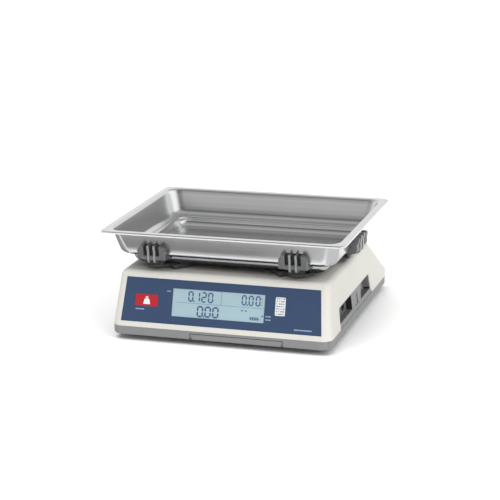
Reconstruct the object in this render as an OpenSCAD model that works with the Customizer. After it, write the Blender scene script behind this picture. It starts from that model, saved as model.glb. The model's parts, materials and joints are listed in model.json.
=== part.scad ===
// Retail price-computing scale: lift-off steel tray, six-armed carrier on a single-point load cell,
// two-part plastic casing with a customer display in front and an operator's console behind.
// X runs across the scale, -Y is the customer's side, +Z is up, and Z = 0 is the counter.

/* [Base] */
// Width of the base where the two shells meet
base_w = 312; // [306:1:320]
// Depth of the base where the two shells meet
base_d = 335; // [331:1:345]
// Height of the casing above the counter
foot_gap = 8; // [7.5:0.5:10]
// Height of the grey lower shell's outer band
band_h = 12.5; // [12:0.5:14]
// Radius of the base's upright corners
corner_r = 14; // [12:1:18]

/* [Housing] */
// Height of the flat top above the counter
top_z = 94; // [93:0.5:95]
// Wall thickness of the housing
wall = 2.5; // [2.2:0.1:2.8]
// Backward lean of the customer's face from upright, in degrees
front_lean = 17.7; // [16:0.1:19]
// Inward lean of the side walls from upright, in degrees
side_lean = 6.5; // [5.5:0.1:7]
// Rise of the operator's console from level, in degrees
console_tilt = 36; // [34:0.5:38]
// Radius of the housing's upper edges
edge_r = 8; // [6:0.5:9]

/* [Tray] */
// Width of the tray over its rim
tray_w = 345; // [340:1:348]
// Depth of the tray over its rim
tray_d = 273; // [270:1:276]
// Place of the tray's centre behind the middle of the base
tray_y = -24; // [-28:1:-20]
// Height of the rim's top above the counter
rim_z = 151; // [149:0.5:155]
// Width of the flat rim
rim_w = 10.5; // [9.5:0.5:12]
// Depth from the rim's top to the underside of the ledge
ledge_depth = 37; // [36:0.5:38]
// Depth from the ledge's underside to the recess's underside
recess_depth = 13; // [12.5:0.5:13.5]
// Thickness of the tray's sheet
sheet = 0.8; // [0.6:0.1:1]

/* [Display] */
// Width of the visible display
lcd_w = 131; // [125:1:133]
// Height of the visible display
lcd_h = 38; // [36:0.5:39]
// Thickness of the printed overlays
film = 0.6; // [0.4:0.1:0.7]

/* [Keys] */
// Width of a key
key_w = 17; // [15:0.5:18]
// Height of a key
key_h = 14.5; // [13:0.5:15.5]
// How far a key moves
key_travel = 1; // [0.6:0.1:1]

/* [Hidden] */
$fn = 48;
layer_t = 0.1;
gap = 0.3;
over = 1;
seam_z = foot_gap + band_h;
floor_t = 3;
floor_z = foot_gap + floor_t;

// Carrier heights
ledge_z = rim_z - ledge_depth;
recess_z = ledge_z - recess_depth;
frame_top = recess_z - 0.2;
frame_t = 5.8;
frame_z = frame_top - frame_t;

// Tray body
pan_r = 18;
wall_draft = 7;
ledge_r = 10;
ledge_w = 15;
recess_r = 6;
body_w = tray_w - 2 * rim_w;
body_d = tray_d - 2 * rim_w;
foot_w = body_w - 2 * wall_draft;
foot_d = body_d - 2 * wall_draft;

// Clips
clip_rise = 18;
clip_back = 3;
clip_depth = 9;
clip_shoulder = 10;
clip_tab = 13;
clip_x = 100;
clip_base_w = 24;
clip_base_in = 8;
fin_drop = 11;
fin_root = 0.5;
arm_w = 22;
arm_channel_start = 40;
arm_floor_t = 3.4;
seat_r = 18.5;
seat_t = 3;
seat_in = clip_base_in + seat_r;

// Width, pitch of its grooves and width of a groove, for the clips at front and rear and for those at the sides
NARROW = [40, 7.6, 5.4];
WIDE = [60, 14.5, 7.5];

// Name, place of the tray wall behind it, turn and size of each clip
CLIPS = [
    ["clip_front_left", -clip_x, tray_y - foot_d / 2, 0, NARROW],
    ["clip_front_right", clip_x, tray_y - foot_d / 2, 0, NARROW],
    ["clip_right", foot_w / 2, tray_y, 90, WIDE],
    ["clip_rear_right", clip_x, tray_y + foot_d / 2, 180, NARROW],
    ["clip_rear_left", -clip_x, tray_y + foot_d / 2, 180, NARROW],
    ["clip_left", -foot_w / 2, tray_y, -90, WIDE]
];

// Load cell
cell_l = 130;
cell_w = 30;
cell_h = 22;
post_h = 28;
cell_top = frame_z - post_h;
cell_z = cell_top - cell_h;
bolt_x = 50;
bolt_step = 7.5;
bolt_r = 3;
head_r = 5;
head_h = 4;
stand_t = 5;
stop_gap = 0.6;

// Housing edges
rear_r = 6;
console_y = 79.5;
rear_y = base_d / 2 - 0.5;
console_foot_z = top_z - (rear_y - console_y) * tan(console_tilt);
console_len = (rear_y - console_y) / cos(console_tilt);
post_x = 138;
post_y = 120;
level_pos = [-118, 52];
level_r = 9;

// Side notch of the housing, along the wall and up it from the seam
NOTCH = [[-113.5, -over], [-110.8, 26], [-109.2, 28.8], [-105.5, 30.2], [60.7, 30.2], [63.5, 7], [73, -over]];
INLET_POCKET = [[-112, 7.6], [-41.5, 7.6], [-41.5, 29], [-105, 29], [-109, 26]];
SWITCH_POCKET = [[8.5, 7.4], [62.2, 7.4], [59.6, 29], [15.5, 29]];
panel_set = 0.8;
panel_t = 2.6;
pocket_depth = 9.5;
pocket_wall = 1.8;
switch_pos = [38, 18];
inlet_pos = [-62, 18];
rocker_r = 8;
rocker_tilt = 10;

// Front overlay and display, along the front face and up it from the seam
overlay_low = 7.2;
overlay_high = 68.2;
overlay_half_low = 142.4;
overlay_half_high = 137.5;
front_lcd = [-4.2, 37.5];

// Console overlay, display and keys, along the console and up it from its foot
console_half = 138;
console_low = 9;
console_high = 99;
rear_lcd_pos = [-62, 62];
pad_pos = [84, 53];
key_step_x = 21;
key_step_y = 19;
key_flange_z = -wall - gap;
key_flange_t = 0.8;
mat_top = key_flange_z - key_flange_t - key_travel - 0.1;
mat_t = 1.2;
KEYS = [
    "key_7", "key_8", "key_9", "key_zero_set",
    "key_4", "key_5", "key_6", "key_tare",
    "key_1", "key_2", "key_3", "key_add",
    "key_0", "key_point", "key_clear", "key_total"
];

// Battery and its cover
battery = [101, 70, 47];
battery_pos = [23.7, -102.5];
cover_w = 126;
cover_t = 2.4;
cover_lip_h = 8;
cover_back = -64.5;
tongue = 2;

// Feet
foot_x = 122;
foot_y = 124;
stud_r = 4;
pad_r = 13;
pad_h = 5.5;
FEET = [["front_left", -1, -1], ["front_right", 1, -1], ["rear_left", -1, 1], ["rear_right", 1, 1]];

// ---- Shared shapes ----

module round_rect(w, d, r) {
    square([w - 2 * r, d], center = true);
    square([w, d - 2 * r], center = true);
    for (sx = [-1, 1], sy = [-1, 1])
        translate([sx * (w / 2 - r), sy * (d / 2 - r)]) circle(r);
}

module slab(w, d, r, z, h) {
    translate([0, 0, z]) linear_extrude(h) round_rect(w, d, r);
}

// Local X along a leaning face, local Y up it, local Z out of it
module front_face() {
    translate([0, -base_d / 2, seam_z]) rotate([90 - front_lean, 0, 0]) children();
}

module side_face() {
    translate([base_w / 2, 0, seam_z]) rotate([90 - side_lean, 0, 90]) children();
}

module console_face() {
    translate([0, rear_y, console_foot_z]) rotate([console_tilt, 0, 180]) children();
}

// Half width and front edge of the housing at height z
function side_x(z) = base_w / 2 - tan(side_lean) * (z - seam_z);
function front_y(z) = -base_d / 2 + tan(front_lean) * (z - seam_z);

// ---- Tray ----

// A pressed form: drafted walls and a rounded bottom edge, drawn in by t
module pan_form(w, d, r, z_high, z_low, r_low, draft, t) {
    hull() {
        slab(w - 2 * t, d - 2 * t, r - t, z_high, layer_t);
        for (a = [0:18:90]) {
            inset = draft + t + (r_low - t) * (1 - cos(a));
            z = z_low + t + (r_low - t) * (1 - sin(a));
            slab(w - 2 * inset, d - 2 * inset, r - inset, z, layer_t);
        }
    }
}

module tray_form(t, rise) {
    pan_form(body_w, body_d, pan_r, rim_z - layer_t + rise, ledge_z, ledge_r, wall_draft, t);
    pan_form(foot_w - 2 * ledge_w, foot_d - 2 * ledge_w, pan_r - 4, ledge_z + ledge_r, recess_z, recess_r, 1, t);
}

module tray() {
    lip_h = 3;
    rim_r = 10;
    color("gainsboro")
    translate([0, tray_y, 0])
    difference() {
        union() {
            difference() {
                slab(tray_w, tray_d, rim_r, rim_z - lip_h, lip_h);
                slab(tray_w - 2 * sheet, tray_d - 2 * sheet, rim_r - sheet, rim_z - lip_h - over, lip_h + over - sheet);
            }
            tray_form(0, 0);
        }
        tray_form(sheet, over);
    }
}

// ---- Carrier ----

// Quarter bend round the tray's lower edge, from below it to beside it
function bend(side, low) = [
    for (a = [270:-11.25:180]) ledge_r * [1, 1] + [(ledge_r + side) * cos(a), (ledge_r + low) * sin(a)]
];

// Line that hugs the tray: under the ledge at distance low, round the bend and up the wall at distance side
function hug(side, low) = concat(
    [[clip_tab, -low]],
    bend(side, low),
    [[-side - wall_draft * clip_rise / ledge_depth, clip_rise]]
);

function reversed(list) = [for (i = [len(list) - 1:-1:0]) list[i]];

module hug_band(near, side, low, w) {
    rotate([90, 0, 90]) linear_extrude(w, center = true)
        polygon(concat(hug(near, near), reversed(hug(side, low))));
}

module clip_outline(w) {
    half = w / 2;
    low = clip_depth + 2;
    shoulder_z = clip_rise - clip_shoulder;
    rotate([90, 0, 0]) linear_extrude(4 * w, center = true) {
        translate([-half, -low]) square([w, low + shoulder_z]);
        translate([clip_shoulder - half, 0]) square([w - 2 * clip_shoulder, clip_rise]);
        for (s = [-1, 1]) translate([s * (half - clip_shoulder), shoulder_z]) circle(clip_shoulder);
    }
}

// Ribbed clip on its carrier arm; local Y points towards the tray's middle
module clip(size) {
    w = size[0];
    step = size[1];
    groove = size[2];
    far = gap + clip_depth;
    base_drop = ledge_z - frame_top;
    base_t = clip_tab - clip_base_in;
    color("dimgray") {
        difference() {
            intersection() {
                hug_band(gap, far, far + 1, w);
                clip_outline(w);
            }
            for (i = [-1:1]) translate([i * step, 0, 0])
                hug_band(gap + clip_back, far + over, far + 2 * over, groove);
        }
        for (s = [-1, 1]) translate([s * step / 2, 0, 0])
            hug_band(gap + clip_back - fin_root, far, fin_drop, step - groove);
        translate([-clip_base_w / 2, clip_base_in, -base_drop]) cube([clip_base_w, base_t, base_drop - clip_depth]);
    }
}

module at_clip(c) {
    translate([c[1], c[2], ledge_z]) rotate([0, 0, c[3]]) children();
}

// An arm under the recess with a channel along its top, and the round seat that the clip stands on
module platform_arm(c) {
    reach = [c[1], c[2] - tray_y];
    length = norm(reach) - seat_in;
    turn = atan2(reach[1], reach[0]);
    translate([0, tray_y, frame_z]) rotate([0, 0, turn]) difference() {
        translate([0, -arm_w / 2, 0]) cube([length, arm_w, frame_t]);
        translate([arm_channel_start, -arm_w / 4, arm_floor_t])
            cube([length - arm_channel_start - seat_r / 2, arm_w / 2, frame_t]);
    }
    at_clip(c) translate([0, seat_in, frame_top - ledge_z - seat_t]) cylinder(r = seat_r, h = seat_t);
}

module platform_frame() {
    color("dimgray")
    difference() {
        union() {
            translate([0, tray_y, 0]) slab(136, 66, 10, frame_z, frame_t);
            for (c = CLIPS) platform_arm(c);
        }
        for (s = [-1, 1]) translate([bolt_x + s * bolt_step, tray_y, 0]) {
            translate([0, 0, frame_z - over]) cylinder(r = bolt_r + 0.1, h = frame_t + 2 * over);
            translate([0, 0, frame_top - head_h - 0.2]) cylinder(r = head_r + 0.2, h = head_h + over);
        }
    }
}

// ---- Load cell and its mounting ----

module bolt_pair(x) {
    for (s = [-1, 1]) translate([x + s * bolt_step, tray_y, 0]) children();
}

module load_cell() {
    eye_r = 8;
    eye_x = 15;
    thread_depth = 14;
    color("silver")
    difference() {
        translate([-cell_l / 2, tray_y - cell_w / 2, cell_z]) cube([cell_l, cell_w, cell_h]);
        translate([0, tray_y, cell_z + cell_h / 2]) {
            for (s = [-1, 1]) translate([s * eye_x, 0, 0])
                rotate([90, 0, 0]) cylinder(r = eye_r, h = cell_w + 2 * over, center = true);
            cube([2 * eye_x, cell_w + 2 * over, 6], center = true);
        }
        bolt_pair(bolt_x) translate([0, 0, cell_top - thread_depth]) cylinder(r = bolt_r + 0.05, h = thread_depth + over);
        bolt_pair(-bolt_x) translate([0, 0, cell_z - over]) cylinder(r = bolt_r + 0.05, h = thread_depth + over);
    }
}

module cell_post() {
    color("silver")
    difference() {
        translate([bolt_x - 14, tray_y - 12, cell_top]) cube([28, 24, post_h]);
        bolt_pair(bolt_x) translate([0, 0, cell_top - over]) cylinder(r = bolt_r + 0.1, h = post_h + 2 * over);
    }
}

module cell_post_screws() {
    color("dimgray")
    bolt_pair(bolt_x) {
        translate([0, 0, cell_top - 12]) cylinder(r = bolt_r, h = frame_top - head_h - cell_top + 12);
        translate([0, 0, frame_top - head_h]) cylinder(r = head_r, h = head_h);
    }
}

module cell_stand() {
    plate = [156, 50];
    stop_block = [20, cell_z - 10];
    color("silver")
    difference() {
        union() {
            translate([-plate[0] / 2, tray_y - plate[1] / 2, floor_z]) cube([plate[0], plate[1], stand_t]);
            translate([-cell_l / 2, tray_y - cell_w / 2, floor_z]) cube([30, cell_w, cell_z - floor_z]);
            translate([bolt_x - stop_block[0] / 2, tray_y - cell_w / 2, floor_z])
                cube([stop_block[0], cell_w, stop_block[1] - floor_z]);
        }
        bolt_pair(-bolt_x) {
            translate([0, 0, floor_z - over]) cylinder(r = bolt_r + 0.1, h = cell_z);
            translate([0, 0, floor_z - over]) cylinder(r = head_r + 0.2, h = head_h + over + 0.2);
        }
        translate([bolt_x, tray_y, floor_z + stand_t]) cylinder(r = bolt_r + 0.05, h = cell_z);
        floor_screw_places() translate([0, 0, floor_z - over]) cylinder(r = 2.1, h = stand_t + 2 * over);
    }
}

module cell_stand_screws() {
    color("dimgray")
    bolt_pair(-bolt_x) {
        translate([0, 0, floor_z + 0.1]) cylinder(r = head_r, h = head_h);
        translate([0, 0, floor_z + 0.1 + head_h]) cylinder(r = bolt_r, h = cell_z + 12 - floor_z - head_h);
    }
}

module floor_screw_places() {
    for (sx = [-1, 1], sy = [-1, 1]) translate([sx * 72, tray_y + sy * 19, 0]) children();
}

module stand_floor_screws() {
    grip = 1.5;
    color("gray")
    floor_screw_places() {
        translate([0, 0, floor_z - grip]) cylinder(r = 2, h = stand_t + grip);
        translate([0, 0, floor_z + stand_t]) cylinder(r = 3.6, h = 2.4);
    }
}

module overload_stop() {
    top = cell_z - stop_gap;
    color("dimgray")
    translate([bolt_x, tray_y, 0]) {
        translate([0, 0, floor_z + stand_t]) cylinder(r = bolt_r, h = top - head_h - floor_z - stand_t);
        translate([0, 0, top - head_h]) cylinder(r = head_r, h = head_h, $fn = 6);
    }
}

// ---- Casing ----

// The housing's outer form drawn in by t; every edge keeps the same centre
module housing_form(t) {
    hull_fn = 32;
    low_z = t > 0 ? seam_z - over : seam_z;
    edge_z = top_z - edge_r;
    edge_x = side_x(edge_z) - edge_r / cos(side_lean);
    front_edge_y = front_y(edge_z) + edge_r / cos(front_lean);
    rear_edge_y = console_y + edge_r / tan(console_tilt) - edge_r / sin(console_tilt);
    foot_edge_y = rear_y - rear_r;
    foot_edge_z = top_z - (foot_edge_y - console_y) * tan(console_tilt) - rear_r / cos(console_tilt);
    foot_edge_x = side_x(foot_edge_z) - rear_r / cos(side_lean);
    hull() {
        for (s = [-1, 1]) {
            for (e = [-1, 1])
                translate([s * (base_w / 2 - corner_r), e * (base_d / 2 - corner_r), low_z])
                    cylinder(r = corner_r - t, h = layer_t, $fn = hull_fn);
            for (y = [front_edge_y, rear_edge_y])
                translate([s * edge_x, y, edge_z]) sphere(r = edge_r - t, $fn = hull_fn);
            translate([s * foot_edge_x, foot_edge_y, foot_edge_z]) sphere(r = rear_r - t, $fn = hull_fn);
        }
    }
}

module post_places() {
    for (sx = [-1, 1], sy = [-1, 1]) translate([sx * post_x, sy * post_y, 0]) children();
}

module housing_posts() {
    post_r = 4;
    intersection() {
        housing_form(wall / 2);
        post_places() translate([0, 0, seam_z]) cylinder(r = post_r, h = top_z);
    }
}

module key_places() {
    for (i = [0:len(KEYS) - 1]) at_key(i) children();
}

module at_key(i) {
    column = i % 4;
    row = floor(i / 4);
    console_face() translate([pad_pos[0] + (column - 1.5) * key_step_x, pad_pos[1] + (1.5 - row) * key_step_y, 0])
        children();
}

module upper_housing() {
    post_hole = [32, 28];
    color("ivory")
    difference() {
        union() {
            difference() {
                housing_form(0);
                housing_form(wall);
            }
            housing_posts();
        }
        side_face() translate([0, 0, -wall - 3]) linear_extrude(wall + 6) polygon(NOTCH);
        front_face() {
            translate([0, 0, -film]) linear_extrude(over + film) front_overlay_outline(gap / 2);
            translate(front_lcd) cube([lcd_w + 5, lcd_h + 5, 3 * wall], center = true);
        }
        console_face() {
            translate([0, 0, -film]) linear_extrude(over + film) console_overlay_outline(gap / 2);
            translate(rear_lcd_pos) cube([lcd_w + 5, lcd_h + 5, 3 * wall], center = true);
        }
        key_places() cube([key_w + 2 * gap, key_h + 2 * gap, 3 * wall], center = true);
        translate([bolt_x, tray_y, top_z]) cube([post_hole[0], post_hole[1], 3 * wall], center = true);
        translate([level_pos[0], level_pos[1], top_z - wall - over]) cylinder(r = level_r + 0.1, h = wall + 2 * over);
        post_places() translate([0, 0, seam_z - over]) cylinder(r = 1.65, h = 14);
    }
}

module housing_screws() {
    color("gray")
    post_places() {
        translate([0, 0, foot_gap + 0.4]) cylinder(r = 3.2, h = 2);
        translate([0, 0, foot_gap + 2.4]) cylinder(r = 1.6, h = 20);
    }
}

// Outer form of the lower shell, with its bottom edge drawn in
module band_form() {
    bevel = 1.5;
    hull() {
        slab(base_w, base_d, corner_r, foot_gap + bevel, band_h - bevel, $fn = 32);
        slab(base_w - 2 * bevel, base_d - 2 * bevel, corner_r - bevel, foot_gap, layer_t, $fn = 32);
    }
}

module feet_places() {
    for (f = FEET) translate([f[1] * foot_x, f[2] * foot_y, 0]) children();
}

module board_posts() {
    for (sx = [-1, 1], sy = [-1, 1]) translate([sx * 62 - 20, 65 + sy * 37, floor_z - over])
        cylinder(r = 3.5, h = 14);
}

module pocket_box(low, high) {
    translate([low[0] - pocket_wall, low[1] - pocket_wall, -panel_set - pocket_depth - pocket_wall])
        cube([high[0] - low[0] + 2 * pocket_wall, high[1] - low[1] + 2 * pocket_wall, pocket_depth + pocket_wall - 2.3]);
}

// Raised side of the lower shell that fills the housing's notch
module side_panel() {
    side_face() {
        intersection() {
            translate([0, 0, -panel_set - panel_t]) linear_extrude(panel_t) offset(delta = -gap) polygon(NOTCH);
            translate([-200, -0.5, -20]) cube([400, 40, 40]);
        }
        translate([-112, -3, -panel_set - panel_t]) cube([182, 5, panel_t - 0.4]);
        pocket_box([-112, 7.6], [-41.5, 29]);
        pocket_box([8.5, 7.4], [62.2, 29]);
    }
}

module battery_bay() {
    bay_wall = 2;
    bay_h = 22;
    clear = 1;
    inner = [battery[0] + 2 * clear, battery[1] + 2 * clear];
    difference() {
        union() {
            translate([battery_pos[0] - cover_w / 2 - 6, -base_d / 2 + 2, floor_z - 0.2])
                cube([cover_w + 12, cover_back + base_d / 2 + 4, 2.2]);
            translate([battery_pos[0] - inner[0] / 2 - bay_wall, battery_pos[1] - inner[1] / 2 - bay_wall, floor_z])
                cube([inner[0] + 2 * bay_wall, inner[1] + 2 * bay_wall, bay_h]);
        }
        translate([battery_pos[0] - inner[0] / 2, battery_pos[1] - inner[1] / 2, 0]) cube([inner[0], inner[1], 100]);
    }
}

// Space that the battery cover slides in
module cover_way() {
    clear_w = cover_w + 2 * gap;
    length = cover_back + base_d / 2 + gap + over;
    translate([battery_pos[0], -base_d / 2 - over, 0]) {
        translate([-clear_w / 2, 0, foot_gap - over]) cube([clear_w, length, cover_t + over + gap]);
        translate([-clear_w / 2 - tongue, 0, foot_gap + 0.9]) cube([clear_w + 2 * tongue, length, cover_t - 0.9 + gap]);
        translate([-clear_w / 2, 0, foot_gap - over]) cube([clear_w, floor_t + over + 0.1, cover_lip_h + over + gap]);
    }
}

module lower_shell() {
    side_wall = 3;
    lip_in = 4.2;
    lip_t = 2;
    color("darkgray")
    difference() {
        union() {
            difference() {
                band_form();
                slab(base_w - 2 * side_wall, base_d - 2 * side_wall, corner_r - side_wall, floor_z, band_h);
            }
            difference() {
                union() {
                    slab(base_w - 2, base_d - 2, corner_r - 1, seam_z - 4, 4);
                    slab(base_w - 2 * lip_in, base_d - 2 * lip_in, corner_r - lip_in, seam_z - 4, 7);
                }
                slab(base_w - 2 * lip_in - 2 * lip_t, base_d - 2 * lip_in - 2 * lip_t, corner_r - lip_in - lip_t, 0, 90);
            }
            feet_places() translate([0, 0, foot_gap]) cylinder(r = 9, h = 17);
            post_places() translate([0, 0, foot_gap]) cylinder(r = 5, h = band_h - 0.2);
            board_posts();
            battery_bay();
            side_panel();
        }
        cover_way();
        feet_places() cylinder(r = stud_r + 0.05, h = 60);
        post_places() {
            cylinder(r = 1.8, h = 40);
            cylinder(r = 3.4, h = foot_gap + 2.4);
        }
        floor_screw_places() translate([0, 0, floor_z - 1.5]) cylinder(r = 2, h = 4);
        side_face() {
            translate([0, 0, -panel_set - pocket_depth]) linear_extrude(20) polygon(INLET_POCKET);
            translate([0, 0, -panel_set - pocket_depth]) linear_extrude(20) polygon(SWITCH_POCKET);
            translate([0, 0, -panel_set - 1.4]) linear_extrude(20) polygon([[-24.5, 7], [-5.5, 7], [-8.5, 25]]);
            translate([switch_pos[0], switch_pos[1], -20]) cube([19.2, 13.2, 60], center = true);
            translate([inlet_pos[0], inlet_pos[1], -40]) cylinder(r = 4.1, h = 60);
        }
        translate([base_w / 2 - 4.5, -base_d / 2 + 4.5, foot_gap + 3.5]) rotate([0, 0, 45])
            translate([-1, -4, 0]) cube([2, 4, band_h]);
    }
}

module battery_cover() {
    lip_t = 2.8;
    length = cover_back + base_d / 2;
    color("darkgray")
    difference() {
        intersection() {
            band_form();
            translate([battery_pos[0], -base_d / 2, foot_gap]) {
                translate([-cover_w / 2, 0, 0]) cube([cover_w, length, cover_t]);
                translate([-cover_w / 2 - tongue, 4, 1.2]) cube([cover_w + 2 * tongue, length - 4, cover_t - 1.2]);
                translate([-cover_w / 2, 0, 0]) cube([cover_w, lip_t, cover_lip_h]);
            }
        }
        for (i = [0:4]) translate([battery_pos[0] - 15, -base_d / 2 + 14 + 3 * i, foot_gap - over])
            cube([30, 1.2, over + 0.6]);
    }
}

// ---- Displays ----

module front_overlay_outline(grow) {
    polygon([
        [-overlay_half_low - grow, overlay_low - grow], [overlay_half_low + grow, overlay_low - grow],
        [overlay_half_high + grow, overlay_high + grow], [-overlay_half_high - grow, overlay_high + grow]
    ]);
}

module console_overlay_outline(grow) {
    translate([0, (console_low + console_high) / 2])
        round_rect(2 * (console_half + grow), console_high - console_low + 2 * grow, 3);
}

module lcd_plan(place, w, h) {
    translate(place) square([w, h], center = true);
}

module front_overlay() {
    color("steelblue")
    front_face() translate([0, 0, -film]) linear_extrude(film) difference() {
        front_overlay_outline(0);
        lcd_plan(front_lcd, lcd_w, lcd_h);
    }
}

module rear_overlay() {
    color("steelblue")
    difference() {
        console_face() translate([0, 0, -film]) linear_extrude(film) difference() {
            console_overlay_outline(0);
            lcd_plan(rear_lcd_pos, lcd_w, lcd_h);
        }
        key_places() cube([key_w + 2 * gap, key_h + 2 * gap, 3 * film], center = true);
    }
}

module lcd_glass(place) {
    color("lightblue") translate([place[0], place[1], -3.4]) linear_extrude(3.4 - film) square([lcd_w + 4, lcd_h + 4], center = true);
}

module display_frame(place) {
    color("whitesmoke") translate([place[0], place[1], -8]) linear_extrude(4.6) difference() {
        square([lcd_w + 11, lcd_h + 11], center = true);
        square([lcd_w - 8, lcd_h - 8], center = true);
    }
}

module display_board(place) {
    chip = 9;
    color("seagreen") translate([place[0], place[1], 0]) {
        translate([0, 0, -9.6]) linear_extrude(1.6) square([lcd_w + 11, lcd_h + 11], center = true);
        for (i = [-1:1]) translate([i * 30, 0, -11.2]) linear_extrude(1.7) square(chip, center = true);
    }
}

module front_lcd_glass() front_face() lcd_glass(front_lcd);
module front_display_frame() front_face() display_frame(front_lcd);
module front_display_board() front_face() display_board(front_lcd);
module rear_lcd_glass() console_face() lcd_glass(rear_lcd_pos);
module rear_display_frame() console_face() display_frame(rear_lcd_pos);
module rear_display_board() console_face() display_board(rear_lcd_pos);

// ---- Keys ----

module key(i) {
    cap_out = 1.6;
    corner = 2;
    dimple_r = 3.5;
    dimple_h = 2;
    flange_rim = 2.4;
    back_z = key_flange_z - key_flange_t;
    color(i % 4 == 3 || KEYS[i] == "key_clear" ? "lightslategray" : "white")
    at_key(i) difference() {
        union() {
            translate([0, 0, back_z]) linear_extrude(cap_out - back_z) round_rect(key_w, key_h, corner);
            translate([0, 0, back_z]) linear_extrude(key_flange_t)
                round_rect(key_w + flange_rim, key_h + flange_rim, corner);
        }
        translate([0, 0, back_z - over]) cylinder(r = dimple_r, h = over + dimple_h);
    }
}

module key_mat() {
    dome_r = 3;
    dome_h = key_travel + 0.6;
    root = 0.2;
    color("lightgray")
    union() {
        console_face() translate([pad_pos[0], pad_pos[1], mat_top - mat_t]) linear_extrude(mat_t)
            square([4 * key_step_x, 4 * key_step_y], center = true);
        key_places() translate([0, 0, mat_top - root]) cylinder(r = dome_r, h = root + dome_h);
    }
}

module keypad_board() {
    board_t = 1.6;
    margin = 4;
    color("seagreen")
    console_face() translate([pad_pos[0], pad_pos[1], mat_top - mat_t - board_t]) linear_extrude(board_t)
        square([4 * key_step_x + margin, 4 * key_step_y + margin], center = true);
}

// ---- Electronics ----

module main_board() {
    board_z = floor_z + 13;
    color("seagreen")
    translate([-20, 65, board_z]) {
        translate([-70, -45, 0]) cube([140, 90, 1.6]);
        for (x = [-45, -20]) translate([x, -20, 0]) cylinder(r = 6, h = 16);
        translate([5, -25, 0]) cube([14, 14, 3.4]);
        translate([35, -30, 0]) cube([24, 30, 12]);
        for (i = [0:2]) translate([-50 + 22 * i, 28, 0]) cube([16, 8, 9]);
    }
}

module battery_pack() {
    base_z = foot_gap + cover_t + gap + 0.5;
    color("gray")
    translate([battery_pos[0], battery_pos[1], base_z]) {
        translate([-battery[0] / 2, -battery[1] / 2, 0]) cube(battery);
        for (s = [-1, 1]) translate([s * 38 - 3, 20, battery[2] - over]) cube([6, 0.8, 6 + over]);
    }
}

module switch_body() {
    bezel_z = -panel_set - pocket_depth;
    color("dimgray")
    side_face() translate([switch_pos[0], switch_pos[1], bezel_z]) difference() {
        union() {
            translate([-10.5, -7.5, 0]) cube([21, 15, 1.8]);
            translate([-9.4, -6.4, -12]) cube([18.8, 12.8, 13]);
        }
        rotate([90, 0, 0]) cylinder(r = rocker_r + 0.2, h = 11, center = true);
        translate([-rocker_r - 0.2, -5.5, 0]) cube([2 * rocker_r + 0.4, 11, 6]);
    }
}

module switch_rocker() {
    rise = 4.4;
    valley = 2.2;
    color("gray")
    side_face() translate([switch_pos[0], switch_pos[1], -panel_set - pocket_depth])
        rotate([0, rocker_tilt, 0]) rotate([90, 0, 0]) linear_extrude(10.4, center = true) intersection() {
            circle(rocker_r);
            polygon([[-9, -4], [9, -4], [9, rise], [7, rise], [0, valley], [-7, rise], [-9, rise]]);
        }
}

module power_inlet() {
    face_z = -panel_set - pocket_depth;
    color("dimgray")
    side_face() translate([inlet_pos[0], inlet_pos[1], face_z]) {
        difference() {
            union() {
                cylinder(r = 6, h = 2, $fn = 6);
                translate([0, 0, -8]) cylinder(r = 4, h = 11);
                translate([-7, -5.5, -14]) cube([14, 11, 12 - pocket_wall - 0.2]);
            }
            translate([0, 0, -7]) cylinder(r = 2.75, h = 12);
        }
        translate([0, 0, -7.5]) cylinder(r = 1, h = 8);
    }
}

// ---- Spirit level ----

module level_body() {
    color("white")
    translate([level_pos[0], level_pos[1], top_z]) difference() {
        union() {
            translate([0, 0, -9]) cylinder(r = level_r, h = 9.8);
            translate([0, 0, 0]) cylinder(r = level_r + 1.2, h = 0.8);
        }
        translate([0, 0, -6.5]) cylinder(r = level_r - 1.5, h = 9);
    }
}

module level_glass() {
    color("palegreen")
    translate([level_pos[0], level_pos[1], top_z - 6.5]) cylinder(r = level_r - 1.5, h = 7);
}

// ---- Feet ----

module foot_stud(f) {
    color("silver")
    translate([f[1] * foot_x, f[2] * foot_y, 2]) cylinder(r = stud_r, h = 21);
}

module foot_pad(f) {
    grips = 16;
    color("black")
    translate([f[1] * foot_x, f[2] * foot_y, 0]) difference() {
        union() {
            cylinder(r = pad_r - 1, h = 2);
            translate([0, 0, 2]) cylinder(r = pad_r, h = pad_h - 2);
        }
        translate([0, 0, 2]) cylinder(r = stud_r + 0.05, h = pad_h);
        for (i = [0:grips - 1]) rotate([0, 0, i * 360 / grips]) translate([pad_r + 0.4, 0, 2])
            cylinder(r = 1, h = pad_h);
    }
}

// ---- Assembly ----

tray();
platform_frame();
for (c = CLIPS) at_clip(c) clip(c[4]);
load_cell();
cell_stand();
cell_post();
cell_stand_screws();
cell_post_screws();
stand_floor_screws();
overload_stop();
lower_shell();
upper_housing();
housing_screws();
front_overlay();
front_lcd_glass();
front_display_frame();
front_display_board();
rear_overlay();
rear_lcd_glass();
rear_display_frame();
rear_display_board();
key_mat();
keypad_board();
for (i = [0:len(KEYS) - 1]) key(i);
main_board();
battery_pack();
battery_cover();
switch_body();
switch_rocker();
power_inlet();
level_body();
level_glass();
for (f = FEET) foot_stud(f);
for (f = FEET) foot_pad(f);
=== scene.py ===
"""Looks of a retail price-computing scale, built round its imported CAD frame. Units are metres."""
import json
import math

import bmesh
import bpy
from mathutils import Matrix, Quaternion, Vector


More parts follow.
